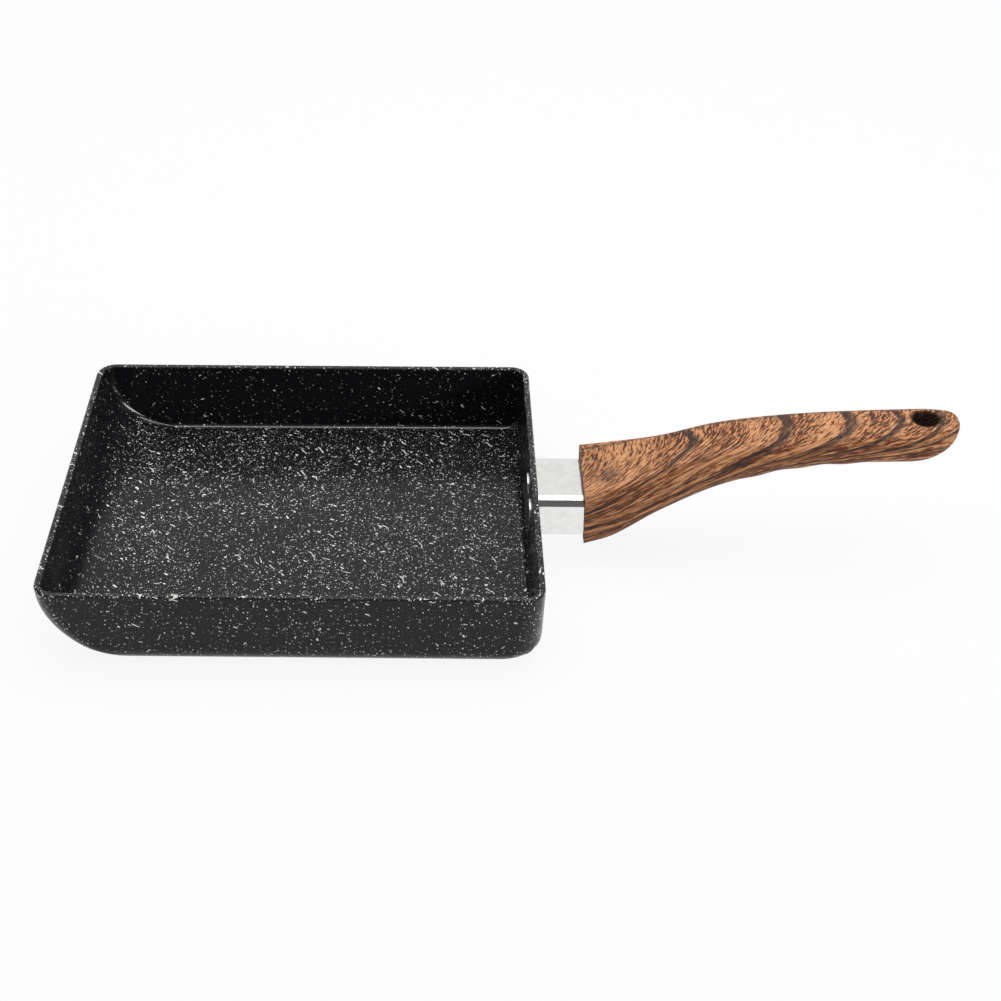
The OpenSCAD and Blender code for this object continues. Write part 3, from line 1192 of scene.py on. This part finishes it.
@dataclass(frozen=True)
class PanBody:
    """Pressed tray with three upright walls and one sloped end."""

    length: float = 180.0
    width: float = 151.0
    taper: float = 2.9
    height: float = 32.5
    wall: float = 2.5
    floor: float = 3.0
    ramp: float = 28.5
    base_round: float = 7.5
    rim_corner: float = 7.5
    base_corner: float = 13.5
    floor_corner: float = 3.0
    side_lean: float = 0.6
    rim_round: float = 0.9
    inner_round: float = 5.0
    side_crease: float = 1.8
    inner_ramp: float = 27.5
    groove_first: float = 12.0
    groove_pitch: float = 8.5
    groove_count: int = 6
    groove_width: float = 1.2
    groove_depth: float = 0.3
    rivet_hole: float = 5.2
    rivet_pitch: float = 17.0
    rivet_z: float = 18.8
    corner_steps: int = 14
    round_steps: int = 12
    wall_steps: int = 20
    rim_steps: int = 5
    hole_steps: int = 48
    hole_past: float = 1.0

    @staticmethod
    def _inset(z: float, radius: float) -> float:
        """How far a wall has moved in at a height above the bottom of its rounding."""
        return radius - math.sqrt(radius**2 - (radius - z) ** 2) if z < radius else 0.0

    @staticmethod
    def _reach(z: float, radius: float) -> float:
        """How far a quarter circle has reached out at a height above its bottom."""
        return math.sqrt(max(radius**2 - (radius - z) ** 2, 0.0)) if z < radius else radius

    def _outline(self, x0: float, x1: float, half: float, corner: float, z: float) -> Box:
        """Rounded rectangle that faces up.

        Args:
            x0: Its end under the sloped side.
            x1: Its end under the handle.
            half: Half of its width.
            corner: Radius of its corners.
            z: Its height.

        Returns:
            The outline.
        """
        return Box(
            ((x0 + x1) / 2, 0.0, z),
            x1 - x0,
            2 * half,
            corner,
            corner,
            self.corner_steps,
            Facing.UP,
            splay=self.taper / self.length / self.width,
        )

    def _side(self, z: float) -> float:
        """Half of the width over the outside at a height."""
        return self.width / 2 - self.side_lean * (1 - z / self.height)

    def _corner(self, z: float) -> float:
        """Corner radius of the outside at a height."""
        return self.rim_corner + (self.base_corner - self.rim_corner) * (1 - z / self.height)

    def _inner_corner(self, z: float) -> float:
        """Corner radius of the inside at a height."""
        share = (z - self.floor) / (self.height - self.floor)
        return self.floor_corner + (self.rim_corner - self.wall - self.floor_corner) * share

    def _outside(self, z: float, grow: float = 0.0) -> Box:
        """Outline of the outside at a height.

        Args:
            z: The height.
            grow: How much further out it lies.

        Returns:
            The outline.
        """
        inset = self._inset(z, self.base_round)
        end = -self.length / 2 + self._reach(self.height, self.ramp) - self._reach(z, self.ramp)
        return self._outline(
            end - grow,
            self.length / 2 - inset + grow,
            self._side(z) - inset + grow,
            self._corner(z) + grow,
            z,
        )

    def _inside(self, z: float, grow: float = 0.0) -> Box:
        """Outline of the inside at a height.

        Args:
            z: The height.
            grow: How much further out it lies.

        Returns:
            The outline.
        """
        up = z - self.floor
        rise = self.height - self.floor
        end = self._reach(rise, self.inner_ramp) - self._reach(up, self.inner_ramp)
        return self._outline(
            self.wall - self.length / 2 + end - grow,
            self.length / 2 - self.wall - self._inset(up, self.inner_round) + grow,
            self._side(z) - self.wall - self._inset(up, self.side_crease) + grow,
            self._inner_corner(z) + grow,
            z,
        )

    def _levels(
        self, start: float, end: float, fillets: Sequence[float], ramp: float
    ) -> list[float]:
        """Heights of the outlines of one skin, close together where it curves.

        Args:
            start: Height of the bottom.
            end: Height of the top.
            fillets: Radii of the roundings at the bottom, smallest first.
            ramp: Radius of the sloped end.

        Returns:
            The heights.
        """
        heights = []
        done = 0.0
        for fillet in fillets:
            rises = [
                fillet * (1 - math.cos(math.pi / 2 * i / self.round_steps))
                for i in range(self.round_steps)
            ]
            heights += [start + rise for rise in rises if rise >= done]
            done = fillet
        first = math.acos(1 - done / ramp)
        last = math.acos(max(1 - (end - start) / ramp, 0.0))
        for i in range(self.wall_steps):
            turn = first + (last - first) * i / self.wall_steps
            heights.append(start + ramp * (1 - math.cos(turn)))
        return heights + [end]

    def build(self, material: bpy.types.Material) -> bpy.types.Object:
        """Models the tray.

        Args:
            material: The coat.

        Returns:
            The piece.
        """
        skin = Loft("pan_body_shell")
        around = 4 * (self.corner_steps + 1)
        middle = (self._reach(self.height, self.ramp) - self.base_round) / 2
        deep, bank = self.groove_depth, self.groove_depth / 2
        for i in range(self.groove_count):
            radius = self.groove_first + i * self.groove_pitch
            near, far = radius - self.groove_width / 2, radius + self.groove_width / 2
            for r, z in ((near, 0.0), (near + bank, deep), (far - bank, deep), (far, 0.0)):
                skin.add(Hoop((middle, 0.0, z), r, around, Facing.UP))
        shoulder = self.height - self.rim_round
        for z in self._levels(0.0, shoulder, (self.base_round,), self.ramp):
            skin.add(self._outside(z))
        turns = [math.pi / 2 * i / self.rim_steps for i in range(self.rim_steps + 1)]
        rim = [
            (shoulder + self.rim_round * math.sin(t), self.rim_round * (math.cos(t) - 1))
            for t in turns
        ]
        for z, grow in rim[1:]:
            skin.add(self._outside(z, grow))
        for z, grow in reversed(rim[:-1]):
            skin.add(self._inside(z, -grow))
        fillets = (self.side_crease, self.inner_round)
        for z in reversed(self._levels(self.floor, shoulder, fillets, self.inner_ramp)[:-1]):
            skin.add(self._inside(z))
        piece = skin.solid()
        for side in (-1, 1):
            hole = Loft("hole")
            outer = self.length / 2
            for x in (outer - self.wall - self.hole_past, outer + self.hole_past):
                centre = (x, side * self.rivet_pitch / 2, self.rivet_z)
                hole.add(Hoop(centre, self.rivet_hole / 2, self.hole_steps))
            cut(piece, hole.solid())
        dress(piece, "pan_body", material)
        return piece


@dataclass(frozen=True)
class Rivets:
    """The two rivets that hold the bracket to the pan."""

    face: float = 87.5
    z: float = 18.8
    pitch: float = 17.0
    shank: float = 5.0
    head: float = 12.5
    dome: float = 1.9
    brim: float = 0.7
    brim_round: float = 0.45
    brim_steps: int = 5
    grip: float = 5.5
    tail: float = 6.6
    tail_height: float = 1.4
    tail_shape: Curve = ((1.0, 0.0), (1.0, 0.5), (0.93, 0.8), (0.75, 1.0))
    around: int = 64
    dome_steps: int = 10
    first_step: float = 0.3

    def _profile(self) -> list[tuple[float, float]]:
        """Radius and distance behind the wall's inner face, from the head to the tail.

        Returns:
            The steps of the rivet.
        """
        crown = self.dome - self.brim
        edge = self.head / 2 - self.brim_round
        ball = (crown**2 + edge**2) / (2 * crown)
        wide = math.asin(edge / ball)
        first, last = self.first_step, self.first_step + self.dome_steps
        steps = [wide * (i + first) / last for i in range(self.dome_steps + 1)]
        turns = [math.pi / 2 * (i + 1) / self.brim_steps for i in range(self.brim_steps)]
        dome = [(ball * math.sin(a), -self.dome + ball * (1 - math.cos(a))) for a in steps]
        brim = [
            (edge + self.brim_round * math.sin(a), -self.brim + self.brim_round * (1 - math.cos(a)))
            for a in turns
        ]
        shank = [(self.head / 2, 0.0), (self.shank / 2, 0.0), (self.shank / 2, self.grip)]
        tail = [
            (self.tail / 2 * wide, self.grip + self.tail_height * high)
            for wide, high in self.tail_shape
        ]
        return dome + brim + shank + tail

    def build(self, material: bpy.types.Material) -> list[bpy.types.Object]:
        """Models one rivet and copies it to the other hole.

        Args:
            material: The coat of the heads.

        Returns:
            The two rivets.
        """
        shape = Loft("rivet_near")
        for radius, x in self._profile():
            shape.add(Hoop((self.face + x, -self.pitch / 2, self.z), radius, self.around))
        near = shape.solid()
        far = near.copy()
        far.data = near.data.copy()
        far.name = "rivet_far"
        bpy.context.scene.collection.objects.link(far)
        pick(far)
        bpy.ops.object.mode_set(mode="EDIT")
        bpy.ops.mesh.select_all(action="SELECT")
        bpy.ops.transform.translate(value=(0, self.pitch * MM, 0))
        bpy.ops.object.mode_set(mode="OBJECT")
        for piece in (near, far):
            dress(piece, "rivets", material)
        return [near, far]


@dataclass(frozen=True)
class Ferrule:
    """Bright sleeve between the pan and the handle."""

    start: float = 90.0
    length: float = 20.6
    z: float = 22.0
    width: float = 31.0
    height: float = 17.0
    sheet: float = 1.5
    high_round: float = 4.3
    low_round: float = 1.8
    edge: float = 0.2
    edge_bend: float = 0.3
    least_round: float = 0.3
    steps: int = 12

    def _outline(self, x: float, grow: float) -> Box:
        """Outline of the sleeve across the handle.

        Args:
            x: Its place along the pan.
            grow: How much further out it lies than the sleeve's outside.

        Returns:
            The outline.
        """
        return Box(
            (x, 0.0, self.z),
            self.height + 2 * grow,
            self.width + 2 * grow,
            max(self.high_round + grow, self.least_round),
            max(self.low_round + grow, self.least_round),
            self.steps,
        )

    def build(self, material: bpy.types.Material) -> bpy.types.Object:
        """Models the sleeve.

        Args:
            material: The metal.

        Returns:
            The piece.
        """
        end = self.start + self.length
        edge, bend, sheet = self.edge, self.edge * self.edge_bend, self.sheet
        lip = [(0.0, -edge), (bend, -bend), (edge, 0.0)]
        inside = [(0.0, edge - sheet), (edge, -sheet)]
        places = [(self.start + x, grow) for x, grow in lip]
        places += [(end - x, grow) for x, grow in reversed(lip)]
        places += [(end - x, grow) for x, grow in inside]
        places += [(self.start + x, grow) for x, grow in reversed(inside)]
        skin = Loft("ferrule_sleeve")
        for x, grow in places:
            skin.add(self._outline(x, grow))
        piece = skin.ring()
        dress(piece, "ferrule", material)
        return piece


@dataclass(frozen=True)
class Handle:
    """Moulded handle with finger swells and a hanging hole."""

    front: float = 107.6
    length: float = 143.0
    axis_z: float = 22.0
    places: tuple[float, ...] = (0.0, 12.0, 30.0, 54.0, 88.0, 143.0)
    widths: tuple[float, ...] = (35.0, 34.0, 30.0, 26.5, 24.5, 21.5)
    heights: tuple[float, ...] = (23.5, 24.5, 20.0, 16.5, 13.5, 16.0)
    rises: tuple[float, ...] = (12.3, 15.9, 21.3, 29.5, 34.7, 38.6)
    rounds: tuple[float, ...] = (1.5, 4.5, 6.3, 6.3, 6.3, 6.3)
    lean: float = 2.0
    lean_fades: float = 30.0
    tip_length: float = 14.5
    heel_length: float = 20.0
    crown_length: float = 3.5
    tip_level: float = 0.15
    tip_blunt: float = 2.4
    tip_gap: float = 0.02
    heel_blunt: float = 2.0
    roundest: tuple[float, float] = (0.49, 0.98)
    swell_first: float = 66.0
    swell_pitch: float = 16.5
    swell_count: int = 3
    swell_height: float = 0.6
    hole: float = 10.0
    hole_from_tip: float = 13.0
    hole_edge: float = 0.5
    hole_edge_steps: int = 3
    hole_steps: int = 64
    seat_depth: float = 3.2
    seat_height: float = 17.4
    seat_width: float = 31.4
    seat_high_round: float = 4.5
    seat_low_round: float = 2.0
    tang_width: float = 16.6
    tang_half: float = 4.8
    tang_reach: float = 32.3
    tang_slope: float = 20.0
    screw_at: float = 14.0
    screw_hole: float = 5.5
    recess: float = 10.4
    screw_seat_z: float = 18.988
    screw_hole_top: float = 26.0
    cut_past: float = 1.0
    cut_top: float = 100.0
    corner_steps: int = 9
    body_steps: int = 96
    tip_steps: int = 26
    film_steps: int = 12
    smooth_below: float = 40.0

    def _along(self, s: float, values: Sequence[float]) -> float:
        """Smooth curve through values at the handle's places.

        Args:
            s: Distance behind the front face.
            values: A value for each place.

        Returns:
            The value at s.
        """
        last = len(self.places) - 1
        i = max(k for k in range(last) if s >= self.places[k] or k == 0)

        def slope(k: int) -> float:
            """Slope of the curve at one place."""
            a, b = max(k - 1, 0), min(k + 1, last)
            return (values[b] - values[a]) / (self.places[b] - self.places[a])

        span = self.places[i + 1] - self.places[i]
        t = (s - self.places[i]) / span
        return (
            (2 * t**3 - 3 * t**2 + 1) * values[i]
            + (t**3 - 2 * t**2 + t) * span * slope(i)
            + (3 * t**2 - 2 * t**3) * values[i + 1]
            + (t**3 - t**2) * span * slope(i + 1)
        )

    def _closing(self, s: float, over: float, blunt: float) -> float:
        """Share of its full size that the end keeps, closing over a length."""
        t = max(s - self.length + over, 0.0) / over
        return max(1 - t**blunt, 0.0) ** (1 / blunt)

    def _swell(self, s: float) -> float:
        """How far the finger swells stand out under the grip.

        Args:
            s: Distance behind the front face.

        Returns:
            The distance that they stand out.
        """
        d = (s - self.swell_first) / self.swell_pitch
        off = d - min(max(round(d), 0), self.swell_count - 1)
        return self.swell_height * math.cos(math.pi * off) ** 2 if abs(off) < 0.5 else 0.0

    def _section(self, s: float) -> Box:
        """Section of the handle at a distance behind its front face.

        Args:
            s: The distance.

        Returns:
            The outline.
        """
        height = self._along(s, self.heights)
        top = self.axis_z + self._along(s, self.rises)
        close = top - self.tip_level * height
        high = close + (top - close) * self._closing(s, self.crown_length, self.tip_blunt)
        fall = close - top + height + self._swell(s)
        low = close - fall * self._closing(s, self.heel_length, self.heel_blunt)
        half = self._along(s, self.widths) / 2 * self._closing(s, self.tip_length, self.tip_blunt)
        most = ((high - low) * self.roundest[0], half * self.roundest[1])
        radius = min(self._along(s, self.rounds), *most)
        lean = math.radians(self.lean) * max(1 - s / self.lean_fades, 0.0)
        middle = (low + high) / 2
        back = (self.axis_z + self.rises[0] - middle) * math.tan(lean)
        return Box(
            (self.front + s + back, 0.0, middle),
            high - low,
            2 * half,
            radius,
            radius,
            self.corner_steps,
            lean=lean,
        )

    def _stations(self) -> list[float]:
        """Distances of the sections behind the front face, closer at the tip.

        Returns:
            The distances.
        """
        bend = self.length - self.heel_length
        last = self.length - self.tip_gap
        body = [bend * i / self.body_steps for i in range(self.body_steps)]
        tip = [
            bend + (last - bend) * math.sin(math.pi / 2 * i / self.tip_steps)
            for i in range(self.tip_steps + 1)
        ]
        return body + tip

    def middle_line(self) -> Curve:
        """Height of the handle's middle at even steps, for its print.

        Returns:
            Distances behind the front face, with heights.
        """
        steps = [self.length * i / self.film_steps for i in range(self.film_steps + 1)]
        return tuple(
            (s, self.axis_z + self._along(s, self.rises) - self._along(s, self.heights) / 2)
            for s in steps
        )

    def hole_x(self) -> float:
        """Place of the hanging hole along the pan."""
        return self.front + self.length - self.hole_from_tip

    def _seat(self) -> bpy.types.Object:
        """Cutter of the seat that the sleeve sits in."""
        seat = Loft("seat")
        for x in (self.front - self.cut_past, self.front + self.seat_depth):
            outline = Box(
                (x, 0.0, self.axis_z),
                self.seat_height,
                self.seat_width,
                self.seat_high_round,
                self.seat_low_round,
                self.corner_steps,
            )
            seat.add(outline)
        return seat.solid()

    def _tang_room(self) -> bpy.types.Object:
        """Cutter of the room for the bracket's sloping tang."""
        slope = math.radians(self.tang_slope)
        deep, wide = 2 * self.tang_half, self.tang_width
        reach, rise = self.tang_reach * math.cos(slope), self.tang_reach * math.sin(slope)
        room = Loft("tang_room")
        for x, z, high, lean in (
            (-2 * self.cut_past, 0.0, deep, 0.0),
            (0.0, 0.0, deep / math.cos(slope / 2), slope / 2),
            (reach, rise, deep, slope),
        ):
            centre = (self.front + x, 0.0, self.axis_z + z)
            room.add(Box(centre, high, wide, 0, 0, 1, lean=lean))
        return room.solid()

    def _bore(self, x: float, low: float, high: float, width: float) -> bpy.types.Object:
        """Cutter of an upright round hole.

        Args:
            x: Its place along the pan.
            low: Height of its lower end.
            high: Height of its upper end.
            width: Its width.

        Returns:
            The cutter.
        """
        bore = Loft("bore")
        for z in (low, high):
            bore.add(Hoop((x, 0.0, z), width / 2, self.hole_steps, Facing.UP))
        return bore.solid()

    def build(self, material: bpy.types.Material) -> bpy.types.Object:
        """Models the handle.

        Args:
            material: The printed film.

        Returns:
            The piece.
        """
        skin = Loft("handle_grip")
        for s in self._stations():
            skin.add(self._section(s))
        piece = skin.solid()
        cut(piece, self._seat())
        cut(piece, self._tang_room())
        screw_x, screw_z = self.front + self.screw_at, self.screw_seat_z
        hang_x = self.hole_x() * MM
        for x, low, high, width in (
            (screw_x, 0.0, screw_z, self.recess),
            (screw_x, screw_z - self.cut_past, self.screw_hole_top, self.screw_hole),
            (self.hole_x(), 0.0, self.cut_top, self.hole),
        ):
            cut(piece, self._bore(x, low, high, width))
        rim = (self.hole / 2 + self.hole_edge) * MM
        soften(
            piece,
            self.hole_edge,
            self.hole_edge_steps,
            lambda co: math.hypot(co.x - hang_x, co.y) < rim,
        )
        dress(piece, "handle", material, self.smooth_below)
        return piece


@dataclass(frozen=True)
class Fixings:
    """The bracket, the screw and its washer, whose solids are kept as they are."""

    casting: Metal = Metal(
        name=Slot.CASTING.value,
        tint=(0.62, 0.63, 0.64),
        shade=(0.45, 0.46, 0.47),
        rough=0.5,
        brush=0.05,
        pits=0.9,
    )
    plated: Metal = Metal(
        name=Slot.PLATED.value,
        tint=(0.70, 0.70, 0.71),
        shade=(0.55, 0.55, 0.57),
        rough=0.3,
        brush=0.12,
        pits=0.1,
    )
    spring: Metal = Metal(
        name=Slot.SPRING.value,
        tint=(0.45, 0.45, 0.46),
        shade=(0.32, 0.32, 0.34),
        rough=0.34,
        brush=0.15,
        pits=0.1,
    )

    def dress(self) -> None:
        """Gives each solid its metal."""
        for node, metal in (
            ("handle_bracket", self.casting),
            ("handle_screw", self.plated),
            ("spring_washer", self.spring),
        ):
            material = metal.material()
            for slot in frame["nodes"][node].material_slots:
                slot.material = material
            log.info("%s: kept, in %s", node, metal.name)


@dataclass(frozen=True)
class Lamp:
    """A soft rectangular lamp."""

    name: str
    place: Point
    aim: Point
    wide: float
    long: float
    watts: float

    def build(self) -> None:
        """Hangs the lamp."""
        data = bpy.data.lights.new(self.name, "AREA")
        data.shape = "RECTANGLE"
        data.size, data.size_y = self.wide, self.long
        data.energy = self.watts
        lamp = bpy.data.objects.new(self.name, data)
        bpy.context.scene.collection.objects.link(lamp)
        lamp.location = self.place
        lamp.rotation_mode = "QUATERNION"
        lamp.rotation_quaternion = (Vector(self.aim) - Vector(self.place)).to_track_quat("-Z", "Y")
        lamp.visible_camera = False
        log.info("%s: %.1f watts", self.name, self.watts)


@dataclass(frozen=True)
class Studio:
    """White table and backdrop in a dim room, one lamp overhead and a card at the front right."""

    reach: float = 6.0
    room: float = 0.13
    white: float = 0.82
    shown: float = 0.9
    rough: float = 0.9
    backdrop_y: float = 1.4
    backdrop_high: float = 1.66
    lamps: tuple[Lamp, ...] = (
        Lamp("overhead", (0.08, 0.21, 0.95), (0.08, 0.21, 0.0), 1.7, 1.1, 14.0),
        Lamp("front_card", (1.25, -1.05, 0.5), (0.05, 0.0, 0.02), 1.2, 0.4, 8.5),
    )

    def _paint(self, name: str) -> bpy.types.Material:
        """White paint that the camera and shiny surfaces see as nearly plain white.

        Args:
            name: Name of the material.

        Returns:
            The material.
        """
        nodes = Nodes(bpy.data.materials.new(name))
        nodes.set(Base_Color=(self.white,) * 3, Roughness=self.rough, Specular_IOR_Level=0.0)
        seen = nodes.ray("Is Camera Ray").at_least(nodes.ray("Is Glossy Ray")) * self.shown
        glow = nodes.add("ShaderNodeEmission", {}, {"Color": WHITE, "Strength": 1.0})
        shaders = {0: seen, 1: nodes.shader.outputs[0], 2: glow.outputs[0]}
        blend = nodes.add("ShaderNodeMixShader", {}, shaders)
        nodes.feed(nodes.tree.nodes["Material Output"].inputs[0], blend.outputs[0])
        return nodes.owner

    def _card(self, name: str, paint: str, place: Point, size: Point, tilt: float) -> None:
        """Sets up a flat card of the stage.

        Args:
            name: Name of the card.
            paint: Name of its paint.
            place: Its middle.
            size: Its size along X, Y and Z.
            tilt: Its turn about X.
        """
        deselect()
        bpy.ops.mesh.primitive_plane_add(size=1, location=place, rotation=(tilt, 0, 0))
        bpy.ops.transform.resize(value=size)
        bpy.ops.object.transform_apply(location=True, rotation=True, scale=True)
        card = bpy.context.object
        card.name = name
        card.data.materials.append(self._paint(paint))

    def build(self) -> None:
        """Sets the table, the backdrop, the lamps and the room."""
        self._card("table", "table_top", ORIGIN, (self.reach, self.reach, 1.0), 0.0)
        middle = (0.0, self.backdrop_y, self.backdrop_high / 2)
        size = (self.reach, 1.0, self.backdrop_high)
        self._card("backdrop", "backdrop_paper", middle, size, math.pi / 2)
        for lamp in self.lamps:
            lamp.build()
        bpy.context.scene.world = bpy.data.worlds.new("room")
        nodes = Nodes(bpy.context.scene.world, "Background")
        dim = (self.room,) * 3
        nodes.set(Color=nodes.mix(nodes.ray("Is Camera Ray"), dim, WHITE))


@dataclass(frozen=True)
class PhotoCamera:
    """Camera at the photograph's place and angle."""

    place: Point = (47.631, -511.774, 408.273)
    yaw: float = 3.2152
    pitch: float = 37.2266
    roll: float = -2.4062
    focal: float = 1640.1
    frame: float = 1001.0
    sensor: float = 36.0
    clip: tuple[float, float] = (0.01, 20.0)

    def build(self) -> None:
        """Sets up the camera."""
        yaw, pitch, roll = (math.radians(a) for a in (self.yaw, self.pitch, self.roll))
        ahead = Vector(
            (math.sin(yaw) * math.cos(pitch), math.cos(yaw) * math.cos(pitch), -math.sin(pitch))
        )
        level = Vector((math.cos(yaw), -math.sin(yaw), 0.0))
        below = ahead.cross(level)
        right = math.cos(roll) * level + math.sin(roll) * below
        down = -math.sin(roll) * level + math.cos(roll) * below
        data = bpy.data.cameras.new("photo_camera")
        data.lens = self.focal / self.frame * self.sensor
        data.sensor_width = self.sensor
        data.clip_start, data.clip_end = self.clip
        camera = bpy.data.objects.new("photo_camera", data)
        bpy.context.scene.collection.objects.link(camera)
        turn = Matrix((right, -down, -ahead)).transposed()
        camera.matrix_world = Matrix.Translation(Vector(self.place) * MM) @ turn.to_4x4()
        bpy.context.scene.camera = camera


def main() -> None:
    """Builds the camera, the pieces and the studio in order."""
    logging.basicConfig(level=logging.INFO, format="%(name)s: %(message)s")
    bpy.context.scene.view_settings.view_transform = "Standard"
    PhotoCamera().build()
    pan = PanBody()
    pan.build(SpeckledCoat(pan.height).material())
    Rivets().build(RivetCoat().material())
    bright = Metal(
        name=Slot.FERRULE.value,
        tint=(0.84, 0.84, 0.83),
        shade=(0.78, 0.77, 0.76),
        rough=0.08,
        brush=0.04,
        pits=1.2,
    )
    Ferrule().build(bright.material())
    handle = Handle()
    film = WoodFilm(
        front=handle.front,
        length=handle.length,
        middle=handle.middle_line(),
        hole_x=handle.hole_x(),
        hole_radius=handle.hole / 2,
        seat_z=handle.axis_z,
        seat_half=(handle.seat_width / 2, handle.seat_height / 2),
    )
    handle.build(film.material())
    Fixings().dress()
    Studio().build()


if __name__ == "__main__":
    main()
